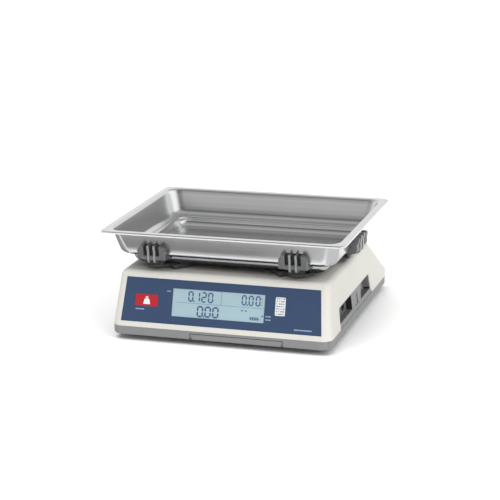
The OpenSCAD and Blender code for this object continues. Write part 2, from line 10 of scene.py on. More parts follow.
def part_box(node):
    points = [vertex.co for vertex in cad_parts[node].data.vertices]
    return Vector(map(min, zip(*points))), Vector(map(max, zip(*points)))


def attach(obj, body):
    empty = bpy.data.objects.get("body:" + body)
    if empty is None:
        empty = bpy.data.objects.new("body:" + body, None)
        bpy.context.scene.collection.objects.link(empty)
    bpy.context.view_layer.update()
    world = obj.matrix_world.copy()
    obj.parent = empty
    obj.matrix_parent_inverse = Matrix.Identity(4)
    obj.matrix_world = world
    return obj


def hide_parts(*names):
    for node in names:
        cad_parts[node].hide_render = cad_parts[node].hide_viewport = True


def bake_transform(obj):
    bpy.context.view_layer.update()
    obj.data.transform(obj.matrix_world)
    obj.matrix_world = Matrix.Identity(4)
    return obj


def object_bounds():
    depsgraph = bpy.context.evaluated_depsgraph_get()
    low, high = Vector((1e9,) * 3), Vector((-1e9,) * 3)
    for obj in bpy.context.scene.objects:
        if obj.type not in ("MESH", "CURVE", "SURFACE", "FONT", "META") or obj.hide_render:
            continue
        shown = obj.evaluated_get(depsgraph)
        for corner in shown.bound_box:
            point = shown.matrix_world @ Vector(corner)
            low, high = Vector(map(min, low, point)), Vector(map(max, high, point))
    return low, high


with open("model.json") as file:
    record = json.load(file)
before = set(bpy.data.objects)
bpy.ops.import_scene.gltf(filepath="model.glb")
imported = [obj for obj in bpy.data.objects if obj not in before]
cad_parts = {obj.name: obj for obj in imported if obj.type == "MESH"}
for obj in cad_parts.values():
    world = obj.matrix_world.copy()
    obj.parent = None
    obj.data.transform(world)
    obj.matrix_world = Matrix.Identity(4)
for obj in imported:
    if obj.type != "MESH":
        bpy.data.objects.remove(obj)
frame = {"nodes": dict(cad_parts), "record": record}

cad_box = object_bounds()
MM = 0.001
HAIR = 0.05 * MM

# ---- Measures taken from the frame ----

tray_low, tray_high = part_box("tray")
housing_low, housing_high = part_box("upper_housing")
object_centre = (cad_box[0] + cad_box[1]) / 2
NODES = frame["nodes"]
BODY_OF = {node: body for body, group in frame["record"]["behaviour"]["bodies"].items() for node in group}
SLOT_OF = {row["node"]: row["material_slot"] for row in frame["record"]["subparts"]}

# The tray's pressed form, as the CAD has it
SHEET = 0.8 * MM
RIM_WIDTH = 10.5 * MM
LIP_HEIGHT = 3 * MM
WALL_DRAFT = 7 * MM
LEDGE_DEPTH = 37 * MM
LEDGE_WIDTH = 15 * MM
RECESS_DEPTH = 13 * MM
LEDGE_RADIUS = 10 * MM

# ---- Camera ----

VIEW_AZIMUTH = math.radians(17.53)
VIEW_ELEVATION = math.radians(15.53)
VIEW_ROLL = math.radians(-0.99)
VIEW_DISTANCE = 2.341
VIEW_LENS = 117.5
AIM_RIGHT = -6.7 * MM
AIM_UP = 16.1 * MM


def make_camera():
    """Camera on a sphere round the object's centre, aimed a little beside and above it."""
    back = Vector((
        math.sin(VIEW_AZIMUTH) * math.cos(VIEW_ELEVATION),
        -math.cos(VIEW_AZIMUTH) * math.cos(VIEW_ELEVATION),
        math.sin(VIEW_ELEVATION),
    ))
    turn = back.to_track_quat("Z", "Y") @ Quaternion((0, 0, 1), VIEW_ROLL)
    right = turn @ Vector((1, 0, 0))
    up = turn @ Vector((0, 1, 0))
    data = bpy.data.cameras.new("camera")
    data.lens = VIEW_LENS
    data.sensor_width = 36
    data.clip_start = 0.05
    data.clip_end = 60
    camera = bpy.data.objects.new("camera", data)
    camera.rotation_mode = "QUATERNION"
    camera.rotation_quaternion = turn
    camera.location = object_centre + right * AIM_RIGHT + up * AIM_UP + back * VIEW_DISTANCE
    bpy.context.scene.collection.objects.link(camera)
    bpy.context.scene.camera = camera


# ---- Materials ----

def new_material(name):
    """An empty material with its node tree and its shader."""
    material = bpy.data.materials.new(name)
    material.use_nodes = True
    tree = material.node_tree
    return material, tree, tree.nodes["Principled BSDF"]


def noise(tree, scale, detail=2.0, stretch=(1, 1, 1)):
    """Noise in object space, where one unit is a metre."""
    place = tree.nodes.new("ShaderNodeTexCoord")
    mapping = tree.nodes.new("ShaderNodeMapping")
    mapping.inputs["Scale"].default_value = stretch
    texture = tree.nodes.new("ShaderNodeTexNoise")
    texture.inputs["Scale"].default_value = scale
    texture.inputs["Detail"].default_value = detail
    tree.links.new(place.outputs["Object"], mapping.inputs["Vector"])
    tree.links.new(mapping.outputs["Vector"], texture.inputs["Vector"])
    return texture.outputs["Fac"]


def spread(tree, value, low, high):
    """Maps the middle of a noise onto the range from low to high."""
    node = tree.nodes.new("ShaderNodeMapRange")
    node.inputs["From Min"].default_value = 0.3
    node.inputs["From Max"].default_value = 0.7
    node.inputs["To Min"].default_value = low
    node.inputs["To Max"].default_value = high
    tree.links.new(value, node.inputs["Value"])
    return node.outputs["Result"]


def shade(tree, value, color, low, high):
    """The colour, made darker or lighter by a noise."""
    ramp = tree.nodes.new("ShaderNodeValToRGB")
    ramp.color_ramp.elements[0].position = 0.3
    ramp.color_ramp.elements[1].position = 0.7
    ramp.color_ramp.elements[0].color = [c * low for c in color[:3]] + [1]
    ramp.color_ramp.elements[1].color = [min(1, c * high) for c in color[:3]] + [1]
    tree.links.new(value, ramp.inputs["Fac"])
    return ramp.outputs["Color"]


def bump(tree, value, distance, under=None):
    """Relief of a given depth, laid over another one if there is one under it."""
    node = tree.nodes.new("ShaderNodeBump")
    node.inputs["Distance"].default_value = distance
    tree.links.new(value, node.inputs["Height"])
    if under is not None:
        tree.links.new(under, node.inputs["Normal"])
    return node.outputs["Normal"]


def plastic(name, color, roughness=0.5, grain=0.45 * MM, depth=0.02 * MM, mottle=0.03, specular=0.4):
    """Moulded plastic: fine spark-eroded grain, slow colour drift and uneven gloss."""
    material, tree, shader = new_material(name)
    drift = noise(tree, 14, 3)
    fine = noise(tree, 1 / grain, 2)
    tree.links.new(shade(tree, drift, color, 1 - mottle, 1 + mottle), shader.inputs["Base Color"])
    tree.links.new(spread(tree, fine, roughness * 0.88, roughness * 1.12), shader.inputs["Roughness"])
    tree.links.new(bump(tree, fine, depth), shader.inputs["Normal"])
    shader.inputs["Specular IOR Level"].default_value = specular
    return material


def metal(name, color, roughness, brush=(1, 1, 1), brush_scale=900, depth=0.004 * MM, swirl=0.0):
    """Metal with fine marks along one way and a slow waviness in its sheet."""
    material, tree, shader = new_material(name)
    shader.inputs["Metallic"].default_value = 1.0
    marks = noise(tree, brush_scale, 3, brush)
    drift = noise(tree, 9, 2)
    tree.links.new(shade(tree, drift, color, 0.97, 1.03), shader.inputs["Base Color"])
    tree.links.new(spread(tree, marks, roughness * 0.93, roughness * 1.07), shader.inputs["Roughness"])
    normal = bump(tree, marks, depth)
    if swirl:
        normal = bump(tree, noise(tree, 22, 1), swirl, normal)
    tree.links.new(normal, shader.inputs["Normal"])
    return material


def printed(name, color, roughness=0.35, coat=0.0, glow=0.0):
    """Printed film: a fine cell texture under an optional clear coat, and a backlight where there is one."""
    material, tree, shader = new_material(name)
    fine = noise(tree, 3200, 2)
    drift = noise(tree, 18, 2)
    tree.links.new(shade(tree, drift, color, 0.97, 1.03), shader.inputs["Base Color"])
    tree.links.new(spread(tree, fine, roughness * 0.9, roughness * 1.1), shader.inputs["Roughness"])
    tree.links.new(bump(tree, fine, 0.008 * MM), shader.inputs["Normal"])
    shader.inputs["Coat Weight"].default_value = coat
    shader.inputs["Coat Roughness"].default_value = 0.08
    if glow:
        shader.inputs["Emission Color"].default_value = (*color[:3], 1)
        shader.inputs["Emission Strength"].default_value = glow
    return material


def liquid(name, color):
    """Tinted spirit under its clear lens."""
    material, tree, shader = new_material(name)
    drift = noise(tree, 260, 2)
    tree.links.new(shade(tree, drift, color, 0.95, 1.05), shader.inputs["Base Color"])
    shader.inputs["Transmission Weight"].default_value = 0.6
    shader.inputs["Roughness"].default_value = 0.06
    shader.inputs["IOR"].default_value = 1.4
    return material


STEEL = metal("satin_steel", (0.73, 0.733, 0.737), 0.23, (1, 9, 9), 260, 0.0001 * MM, 0.0018 * MM)
ZINC = metal("zinc_plate", (0.62, 0.63, 0.65), 0.34)
ALUMINIUM = metal("machined_aluminium", (0.78, 0.79, 0.8), 0.36, (20, 1, 1), 300, 0.006 * MM)
IVORY = plastic("ivory_plastic", (0.55, 0.54, 0.5), 0.5, 0.5 * MM, 0.012 * MM, 0.012)
GREY_SHELL = plastic("grey_shell_plastic", (0.205, 0.207, 0.209), 0.52, 0.5 * MM, 0.02 * MM)
CARRIER = plastic("carrier_plastic", (0.06, 0.061, 0.064), 0.48, 0.7 * MM, 0.04 * MM, 0.08)
CLIP = plastic("clip_plastic", (0.105, 0.107, 0.11), 0.4, 0.8 * MM, 0.05 * MM, 0.14, 0.5)
# Lighter copy of the clip plastic: a painted highlight on the edges and fin fronts that catch the light
CLIP_PAINTED_HIGHLIGHT = plastic("clip_plastic_painted_highlight", (0.24, 0.243, 0.245), 0.34, 0.6 * MM, 0.03 * MM, 0.12, 0.6)
# Darker copy of the clip plastic: painted shade next to the tray, in the upper grooves and on the column
# under the clip
CLIP_PAINTED_SHADE = plastic("clip_plastic_painted_shade", (0.028, 0.028, 0.03), 0.5, 0.8 * MM, 0.05 * MM, 0.14, 0.4)
BLACK = plastic("black_plastic", (0.018, 0.018, 0.019), 0.42, 0.4 * MM, 0.015 * MM, 0.1)
ROCKER = plastic("rocker_plastic", (0.17, 0.173, 0.176), 0.38, 0.4 * MM, 0.012 * MM, 0.06)
WHITE = plastic("white_plastic", (0.83, 0.83, 0.81), 0.45, 0.5 * MM, 0.012 * MM)
# Paler grey for the pockets' floors and backs: painted light on faces turned to the lamps
POCKET_PAINTED_LIGHT = plastic("pocket_painted_light", (0.1, 0.1, 0.102), 0.55, 0.7 * MM, 0.06 * MM, 0.2)
BATTERY = plastic("battery_plastic", (0.06, 0.06, 0.065), 0.5, 0.8 * MM, 0.03 * MM, 0.06)
BOARD = plastic("board_mask", (0.02, 0.14, 0.06), 0.35, 1.2 * MM, 0.01 * MM, 0.15, 0.5)
MAT_RUBBER = plastic("mat_rubber", (0.5, 0.51, 0.52), 0.6, 0.6 * MM, 0.02 * MM)
RUBBER = plastic("foot_rubber", (0.022, 0.022, 0.022), 0.72, 0.6 * MM, 0.05 * MM, 0.1, 0.3)
KEY_LIGHT = plastic("key_light", (0.78, 0.79, 0.78), 0.42, 0.5 * MM, 0.012 * MM)
KEY_GREY = plastic("key_grey", (0.17, 0.20, 0.24), 0.42, 0.5 * MM, 0.012 * MM)
OVERLAY = printed("overlay_blue", (0.022, 0.046, 0.104), 0.42)
LCD_FACE = printed("lcd_face", (0.26, 0.36, 0.4), 0.3, 0.4, 0.11)
LCD_INK = printed("lcd_ink", (0.028, 0.062, 0.15), 0.4)
LABEL_RED = printed("label_red", (0.36, 0.006, 0.014), 0.35)
LABEL_WHITE = printed("label_white", (0.64, 0.65, 0.65), 0.4)
LABEL_GREY = printed("label_grey", (0.16, 0.17, 0.19), 0.4)
INK_LIGHT = printed("ink_light", (0.3, 0.36, 0.46), 0.45)
INK_DARK = printed("ink_dark", (0.03, 0.035, 0.045), 0.45)
LEVEL_LIQUID = liquid("level_liquid", (0.5, 0.85, 0.3))

SLOT_MATERIALS = {
    "tray_steel": STEEL, "carrier_plastic": CARRIER, "cell_aluminium": ALUMINIUM, "screw_steel": ZINC,
    "shell_grey": GREY_SHELL, "housing_ivory": IVORY, "overlay_blue": OVERLAY, "lcd_face": LCD_FACE,
    "frame_white": WHITE, "board_green": BOARD, "mat_rubber": MAT_RUBBER, "battery_case": BATTERY,
    "switch_black": BLACK, "rocker_grey": ROCKER, "level_liquid": LEVEL_LIQUID, "key_light": KEY_LIGHT,
    "key_grey": KEY_GREY, "foot_rubber": RUBBER,
}


def dress_cad_nodes():
    """Gives each CAD node the material of its slot."""
    for name, node in NODES.items():
        material = SLOT_MATERIALS[SLOT_OF[name]]
        node.data.materials.clear()
        node.data.materials.append(material)


# ---- Mesh helpers ----

BEVEL_ANGLE = math.radians(40)
# A welded copy joins points this close, merges faces that turn by less, and is smooth where it turns by less
WELD_DISTANCE = 0.002 * MM
MERGE_ANGLE = math.radians(0.5)
SMOOTH_ANGLE = math.radians(28)


def piece(name, points, faces, material, body, smooth_angle=35):
    """A mesh object with soft shading below smooth_angle degrees, riding on a body."""
    mesh = bpy.data.meshes.new(name)
    mesh.from_pydata([tuple(p) for p in points], [], faces)
    mesh.validate()
    work = bmesh.new()
    work.from_mesh(mesh)
    bmesh.ops.recalc_face_normals(work, faces=work.faces)
    work.to_mesh(mesh)
    work.free()
    mesh.shade_smooth()
    mesh.set_sharp_from_angle(angle=math.radians(smooth_angle))
    mesh.materials.append(material)
    made = bpy.data.objects.new(name, mesh)
    bpy.context.scene.collection.objects.link(made)
    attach(made, body)
    return made


def bevel(made, width):
    """Rounds the edges that turn by more than BEVEL_ANGLE."""
    modifier = made.modifiers.new("edges", "BEVEL")
    modifier.width = width
    modifier.segments = 2
    modifier.limit_method = "ANGLE"
    modifier.angle_limit = BEVEL_ANGLE
    modifier.harden_normals = False


def welded_copy(node, edge=0.0, rigid=True):
    """A copy of a CAD node with its points welded and smooth curved faces, its edges rounded by edge.
    A rigid copy rides on the node's body."""
    work = bmesh.new()
    work.from_mesh(NODES[node].data)
    bmesh.ops.remove_doubles(work, verts=work.verts, dist=WELD_DISTANCE)
    bmesh.ops.dissolve_limit(work, angle_limit=MERGE_ANGLE, verts=work.verts, edges=work.edges)
    mesh = bpy.data.meshes.new(node + "_shell")
    work.to_mesh(mesh)
    work.free()
    mesh.shade_smooth()
    mesh.set_sharp_from_angle(angle=SMOOTH_ANGLE)
    mesh.materials.append(SLOT_MATERIALS[SLOT_OF[node]])
    made = bpy.data.objects.new(node + "_shell", mesh)
    bpy.context.scene.collection.objects.link(made)
    if rigid:
        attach(made, BODY_OF[node])
    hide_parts(node)
    if edge:
        bevel(made, edge)
    return made


def bridge(rings):
    """A closed skin over rings that hold the same number of points, with both ends capped."""
    count = len(rings[0])
    points = [p for ring in rings for p in ring]
    faces = []
    for r in range(len(rings) - 1):
        for i in range(count):
            j = (i + 1) % count
            faces.append((r * count + i, r * count + j, (r + 1) * count + j, (r + 1) * count + i))
    faces.append(tuple(range(count)))
    faces.append(tuple((len(rings) - 1) * count + i for i in range(count)))
    return points, faces


def round_rect(half_x, half_y, radius, steps=10):
    """Outline of a rectangle with round corners, anticlockwise."""
    outline = []
    for corner in range(4):
        sx = 1 if corner in (0, 3) else -1
        sy = 1 if corner in (0, 1) else -1
        for step in range(steps + 1):
            angle = math.pi / 2 * (corner + step / steps)
            outline.append((
                sx * (half_x - radius) + radius * math.cos(angle),
                sy * (half_y - radius) + radius * math.sin(angle),
            ))
    return outline


def rounded(corners, steps=6):
    """A path in two dimensions through (x, y, radius) corners, each rounded with an arc."""
    path = [corners[0][:2]]
    for before, here, after in zip(corners, corners[1:], corners[2:]):
        a, b, c = Vector(before[:2]), Vector(here[:2]), Vector(after[:2])
        incoming, outgoing = (b - a).normalized(), (c - b).normalized()
        turn = math.acos(max(-1, min(1, incoming.dot(outgoing))))
        if here[2] == 0 or turn < 1e-4:
            path.append(tuple(b))
            continue
        trim = here[2] * math.tan(turn / 2)
        side = 1 if incoming.x * outgoing.y - incoming.y * outgoing.x > 0 else -1
        start = b - incoming * trim
        centre = start + Vector((-incoming.y, incoming.x)) * side * here[2]
        for step in range(steps + 1):
            spin = Matrix.Rotation(side * turn * step / steps, 2)
            path.append(tuple(centre + spin @ (start - centre)))
    path.append(corners[-1][:2])
    return path


def offset_path(path, distance):
    """The path moved sideways, to the right of its own direction."""
    shifted = []
    last = len(path) - 1
    for i, point in enumerate(path):
        a = Vector(path[max(i - 1, 0)])
        b = Vector(path[min(i + 1, last)])
        along = (b - a).normalized()
        shifted.append((point[0] + along.y * distance, point[1] - along.x * distance))
    return shifted


# ---- Flat artwork on a leaning face ----

class Face:
    """Local axes of a flat CAD face: right along it, up it and out of it, with its origin in its middle."""

    def __init__(self, node, right):
        mesh = NODES[node].data
        low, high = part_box(node)
        sums = {}
        for polygon in mesh.polygons:
            key = tuple(round(c, 2) for c in polygon.normal)
            sums[key] = sums.get(key, 0) + polygon.area
        normals = sorted(sums, key=sums.get, reverse=True)[:2]
        self.out = Vector(max(normals, key=lambda n: n[2])).normalized()
        self.right = Vector(right)
        self.up = self.out.cross(self.right).normalized()
        centre = (low + high) / 2
        surface = max((v.co - centre).dot(self.out) for v in mesh.vertices)
        self.origin = centre + self.out * surface

    def at(self, x, y, height=0.0):
        return self.origin + self.right * x + self.up * y + self.out * height

    def local(self, point):
        """Place of a point along and up the face."""
        away = point - self.origin
        return away.dot(self.right), away.dot(self.up)


def artwork(name, face, shapes, material, body, height=0.0, thickness=HAIR):
    """Flat shapes, each an outline of (x, y) points, raised a hair from the face."""
    points, faces = [], []
    for shape in shapes:
        start, count = len(points), len(shape)
        points += [face.at(x, y, height) for x, y in shape]
        points += [face.at(x, y, height + thickness) for x, y in shape]
        faces.append(tuple(range(start, start + count)))
        faces.append(tuple(range(start + count, start + 2 * count)))
        for i in range(count):
            j = (i + 1) % count
            faces.append((start + i, start + j, start + count + j, start + count + i))
    return piece(name, points, faces, material, body)


def bar(x, y, width, height):
    """A rectangle from its low left corner."""
    return [(x, y), (x + width, y), (x + width, y + height), (x, y + height)]


def moved(shape, x, y):
    """The shape, shifted."""
    return [(px + x, py + y) for px, py in shape]


SEGMENTS = {
    "0": "abcdef", "1": "bc", "2": "abged", "3": "abgcd", "4": "fgbc",
    "5": "afgcd", "6": "afgedc", "7": "abc", "8": "abcdefg", "9": "abcdfg",
}


def segment_digit(digit, width, height, stroke):
    """The bars of one seven-segment digit, with their ends cut to a point."""
    half, gap = stroke / 2, stroke * 0.12
    middle = height / 2

    def flat(y):
        return [
            (half + gap, y), (stroke + gap, y + half), (width - stroke - gap, y + half),
            (width - half - gap, y), (width - stroke - gap, y - half), (stroke + gap, y - half),
        ]

    def upright(x, low, high):
        return [
            (x, low + gap), (x + half, low + half + gap), (x + half, high - half - gap),
            (x, high - gap), (x - half, high - half - gap), (x - half, low + half + gap),
        ]

    bars = {
        "a": flat(height - half), "g": flat(middle), "d": flat(half),
        "f": upright(half, middle, height - half), "b": upright(width - half, middle, height - half),
        "e": upright(half, half, middle), "c": upright(width - half, half, middle),
    }
    return [bars[s] for s in SEGMENTS[digit]]


def segment_number(digits, x, y, width, height, pitch, stroke):
    """A row of digits with a point after the first."""
    shapes = []
    for i, digit in enumerate(digits):
        shapes += [moved(s, x + i * pitch, y) for s in segment_digit(digit, width, height, stroke)]
    shapes.append(bar(x + width + (pitch - width) / 2 - stroke / 2, y, stroke, stroke))
    return shapes


# ---- Tray ----

LIP_BEND = 1.5 * MM
RIM_BEND = 3.6 * MM
RECESS_EDGE_BEND = 2.6 * MM
RECESS_FLOOR_BEND = 9 * MM
RECESS_DRAFT = 1 * MM
# How far in from the recess's edge the flat floor starts
FLOOR_START = 12 * MM


def tray_corner_radius(inset):
    """Radius of the tray's upright corners at a distance in from its rim."""
    wall_foot = RIM_WIDTH + WALL_DRAFT
    stops = [(0, 10 * MM), (RIM_WIDTH, 18 * MM), (wall_foot, 19 * MM), (wall_foot + LEDGE_WIDTH, 18 * MM)]
    for (a, ra), (b, rb) in zip(stops, stops[1:]):
        if inset <= b:
            return ra + (rb - ra) * max(0, inset - a) / (b - a)
    return max(stops[-1][1] - (inset - stops[-1][0]), 2 * MM)


def wall_bulge(wall, rim, foot, ledge):
    """Points that bow the wall out a little, as pressed sheet does, with wide soft bends."""
    bow = 0.25 * MM
    bend = 160 * MM
    points = []
    for share in (0.25, 0.5, 0.66):
        out = 4 * bow * share * (1 - share)
        points.append((wall + (foot - wall) * share - out, rim + (ledge - rim) * share, bend / 4))
    return points


def make_tray():
    """Pressed steel tray: turned lip, rolled rim, drafted wall, ledge and recess, in one closed sheet."""
    rim, ledge = tray_high.z, tray_high.z - LEDGE_DEPTH + SHEET
    floor = ledge - RECESS_DEPTH
    wall = RIM_WIDTH + SHEET
    slope = WALL_DRAFT / (LEDGE_DEPTH - LEDGE_RADIUS)
    foot = wall + slope * (rim - ledge)
    recess = RIM_WIDTH + WALL_DRAFT + LEDGE_WIDTH + SHEET
    # Distance in from the rim's edge, height, and radius of the bend there
    corners = [
        (0, rim - LIP_HEIGHT, 0),
        (0, rim, LIP_BEND),
        (wall, rim, RIM_BEND),
        *wall_bulge(wall, rim, foot, ledge),
        (foot, ledge, LEDGE_RADIUS - SHEET),
        (recess, ledge, RECESS_EDGE_BEND),
        (recess + RECESS_DRAFT, floor, RECESS_FLOOR_BEND),
        (recess + FLOOR_START, floor, 0),
    ]
    top = rounded(corners, 7)
    profile = list(reversed(top)) + [(x, z) for x, z in offset_path(top, SHEET)]
    centre = (tray_low + tray_high) / 2
    half = (tray_high - tray_low) / 2
    rings = []
    for inset, z in profile:
        outline = round_rect(half.x - inset, half.y - inset, tray_corner_radius(inset), 12)
        rings.append([(centre.x + x, centre.y + y, z) for x, y in outline])
    points, faces = bridge(rings)
    made = piece("pressed_tray", points, faces, STEEL, "tray", 60)
    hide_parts("tray")


# ---- Clips, casing and small parts ----

CLIP_GAP = 0.35 * MM
CLIP_TOP = 18.5 * MM
CLIP_FRONT = 9.3 * MM
CLIP_EDGE = 0.7 * MM
CLIP_SHOULDER = 10 * MM
GROOVE_STEP_DOWN = 0.8 * MM
# Half width, pitch of the grooves and width of a groove
NARROW_CLIP = (20 * MM, 8.7 * MM, 5.6 * MM)
WIDE_CLIP = (30 * MM, 14.5 * MM, 7.5 * MM)
WALL_LEAN = WALL_DRAFT / (LEDGE_DEPTH - LEDGE_RADIUS)
MOULDED_EDGE = 0.4 * MM


def clip_back(top):
    """The side that hugs the tray: under its ledge, round the bend and up its wall."""
    reach = LEDGE_RADIUS + CLIP_GAP
    line = [(-13 * MM, -CLIP_GAP)]
    for angle in range(270, 361, 15):
        turn = math.radians(angle)
        line.append((reach * math.cos(turn) - LEDGE_RADIUS, reach * math.sin(turn) + LEDGE_RADIUS))
    line.append((CLIP_GAP + WALL_LEAN * (top - LEDGE_RADIUS), top))
    return line


def clip_face(front, top, low, radius, under):
    """The outer side from its top down to its rounded lower edge, and back under the tray."""
    lean = front + WALL_LEAN * (top - LEDGE_RADIUS) * 0.8
    line = [(lean - 1.1 * MM, top), (lean - 0.2 * MM, top - 0.35 * MM), (lean, top - 1.2 * MM)]
    line.append((front, LEDGE_RADIUS - 1 * MM))
    for step in range(6):
        turn = math.pi / 2 * step / 5
        line.append((front - radius + radius * math.cos(turn), low + radius - radius * math.sin(turn)))
    line.append((-13 * MM, low - under))
    return line


def groove_face(top, low):
    """A groove's floor: deep beside the wall, then curving out to a foot below."""
    deep = 3.3 * MM
    lean = deep + WALL_LEAN * (top - LEDGE_RADIUS) * 0.9
    return [
        (lean - 0.4 * MM, top), (lean, top - 0.5 * MM), (deep, 9.5 * MM), (deep, 6.6 * MM),
        (deep + 0.7 * MM, 5.2 * MM), (deep + 2.6 * MM, 4.2 * MM), (7.6 * MM, 3.4 * MM), (8.3 * MM, 1.6 * MM),
        (8.2 * MM, low + 1.6 * MM), (6.6 * MM, low), (-13 * MM, low - 2.5 * MM),
    ]


def shoulder_drop(x, half):
    """How far the rounded outline has fallen at a distance from the clip's middle."""
    beyond = min(max(abs(x) - (half - CLIP_SHOULDER), 0), CLIP_SHOULDER)
    return (CLIP_SHOULDER - math.sqrt(CLIP_SHOULDER ** 2 - beyond ** 2)) * 0.92


def clip_rib(start, end, half, low, radius, under):
    """One raised rib or shoulder of a clip, with softened edges, as rings of (x, out, up)."""
    rings = []
    edges = [(0, 1), (0.18, 0.45), (0.5, 0.13), (1, 0)]
    places = [(start + CLIP_EDGE * away, cut) for away, cut in edges]
    for step in range(1, 8):
        places.append((start + CLIP_EDGE + (end - start - 2 * CLIP_EDGE) * step / 8, 0))
    places += [(end - CLIP_EDGE * away, cut) for away, cut in reversed(edges)]
    for x, cut in places:
        top = CLIP_TOP - shoulder_drop(x, half) - cut * CLIP_EDGE
        depth = cut * CLIP_EDGE
        section = clip_back(top) + clip_face(CLIP_FRONT - depth, top, low + depth, radius, under)
        rings.append([(x, out, up) for out, up in section])
    return rings


def clip_parts(half, pitch, groove):
    """Rings of each shoulder, groove and fin across a clip."""
    fin_half = (pitch - groove) / 2
    outer = pitch + groove / 2
    # Half width, low edge, radius of the lower front edge, and how far the underside falls
    shoulder = (half, -2.2 * MM, 3.4 * MM, 2.8 * MM)
    parts = [(clip_rib(-half, -outer, *shoulder), "rib"), (clip_rib(outer, half, *shoulder), "rib")]
    for side in (-1, 1):
        middle = side * pitch / 2
        fin = clip_rib(middle - fin_half, middle + fin_half, half, -7.2 * MM, 6.4 * MM, 0.6 * MM)
        parts.append((fin, "fin"))
    for middle in (-pitch, 0, pitch):
        top = CLIP_TOP - GROOVE_STEP_DOWN
        section = clip_back(top) + groove_face(top, -2.6 * MM)
        rings = [[(x, out, up) for out, up in section] for x in (middle - groove / 2, middle + groove / 2)]
        parts.append((rings, "groove"))
    return parts


def clip_column():
    """The short column that stands the clip on its seat, as rings from its top down."""
    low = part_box("platform_frame")[1].z - (tray_high.z - LEDGE_DEPTH)
    middle = -10.5 * MM
    levels = [(0, -2 * MM), (0, low + 1.2 * MM), (1 * MM, low)]
    return [[(x, middle + y, z) for x, y in round_rect(12 * MM + flare, 2.5 * MM + flare / 2, 1.2 * MM, 4)]
        for flare, z in levels]


def clip_look(kind, corners, face, per_ring, ring_count):
    """Which material a face wears: 0 moulded, 1 painted highlight on edges and fin fronts, 2 painted shade by
    the tray, in grooves and on the column.
    """
    height = sum(c[2] for c in corners) / len(corners)
    outward = sum(c[1] for c in corners) / len(corners)
    if outward < 0.5 * MM or kind == "column":
        return 2
    # Upper groove faces get painted shade, lower ones the moulded colour
    if kind == "groove":
        return 0 if height < 4.6 * MM else 2
    if kind == "fin":
        return 1 if outward > CLIP_FRONT - 1.6 * MM else 0
    ring = min(face) // per_ring
    return 1 if ring in (0, 1, ring_count - 3, ring_count - 2) and outward > 7 * MM and len(face) == 4 else 0


def make_clip(node, size):
    """Ribbed tray clip: shoulders, fins and grooves that hug the tray's lower edge."""
    foot = RIM_WIDTH + WALL_DRAFT
    low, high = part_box(node)
    centre = (low + high) / 2
    if "front" in node:
        place, out = Vector((centre.x, tray_low.y + foot, 0)), Vector((0, -1, 0))
    elif "rear" in node:
        place, out = Vector((centre.x, tray_high.y - foot, 0)), Vector((0, 1, 0))
    elif "right" in node:
        place, out = Vector((tray_high.x - foot, centre.y, 0)), Vector((1, 0, 0))
    else:
        place, out = Vector((tray_low.x + foot, centre.y, 0)), Vector((-1, 0, 0))
    along = Vector((0, 0, 1)).cross(out)
    base = tray_high.z - LEDGE_DEPTH
    points, faces, looks = [], [], []
    for rings, kind in clip_parts(*size) + [(clip_column(), "column")]:
        start = len(points)
        part_points, part_faces = bridge(rings)
        points += [place + along * x + out * y + Vector((0, 0, base + z)) for x, y, z in part_points]
        faces += [tuple(start + i for i in face) for face in part_faces]
        for face in part_faces:
            looks.append(clip_look(kind, [part_points[i] for i in face], face, len(rings[0]), len(rings)))
    made = piece(node + "_ribs", points, faces, CLIP, BODY_OF[node], 42)
    # Slot 1 holds a painted highlight for edges and fin fronts, slot 2 painted shade for the hollows
    made.data.materials.append(CLIP_PAINTED_HIGHLIGHT)
    made.data.materials.append(CLIP_PAINTED_SHADE)
    for polygon, look in zip(made.data.polygons, looks):
        polygon.material_index = look
    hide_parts(node)


def dress_moulded_parts():
    """Tray clips, and moulded parts with softly rounded edges in place of the CAD's sharp ones."""
    for node in NODES:
        if node.startswith("clip_"):
            ends = "front" in node or "rear" in node
            make_clip(node, NARROW_CLIP if ends else WIDE_CLIP)
    welded_copy("platform_frame", MOULDED_EDGE)
    welded_copy("switch_rocker", MOULDED_EDGE)


def make_load_cell():
    """The load cell as a welded copy, baked in place, that rides on no body."""
    made = welded_copy("load_cell", rigid=False)
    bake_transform(made)


SIDE_LEAN = math.radians(6.5)
PANEL_SET_IN = 0.8 * MM
POCKET_DEPTH = 9.5 * MM
# Name, front and rear end, low and high edge, measured along the right side and up it from the casing's seam
POCKETS = (
    ("inlet_pocket_painted_shade", -112 * MM, -41.5 * MM, 7.6 * MM, 29 * MM),
    ("switch_pocket_painted_shade", 8.5 * MM, 62.2 * MM, 7.4 * MM, 29 * MM),
)


def side_point(along, up, out):
    """A point on the leaning right side of the casing."""
    return (
        housing_high.x - up * math.sin(SIDE_LEAN) + out * math.cos(SIDE_LEAN),
        along,
        housing_low.z + up * math.cos(SIDE_LEAN) + out * math.sin(SIDE_LEAN),
    )


def shade_pockets():
    """Thin dark sheets of painted shade inside the two pockets of the right side, with paler painted light on
    their floor and back.
    """
    skin = 0.25 * MM
    clearance = 0.1 * MM
    mouth = -PANEL_SET_IN - 2 * HAIR
    for name, front, rear, low, high in POCKETS:
        rings = []
        for inset, out in (
            (clearance, HAIR - POCKET_DEPTH),
            (clearance, mouth),
            (clearance + skin, mouth),
            (clearance + skin, skin - POCKET_DEPTH),
        ):
            near, far, under, over = front + inset, rear - inset, low + inset, high - inset
            corners = ((near, under), (far, under), (far, over), (near, over))
            rings.append([side_point(along, up, out) for along, up in corners])
        points, faces = bridge(rings)
        pocket_shade = piece(name, points, faces, BLACK, "base", 30)
        pocket_shade.data.materials.append(POCKET_PAINTED_LIGHT)
        back = housing_high.x - POCKET_DEPTH + 1 * MM
        # Faces turned up or out get the paler grey as painted light; the rest stay black as painted shade
        for polygon in pocket_shade.data.polygons:
            middle = polygon.center
            faces_up = polygon.normal.z > 0.8
            faces_out = polygon.normal.x > 0.8 and middle.x < back
            polygon.material_index = 1 if faces_up or faces_out else 0


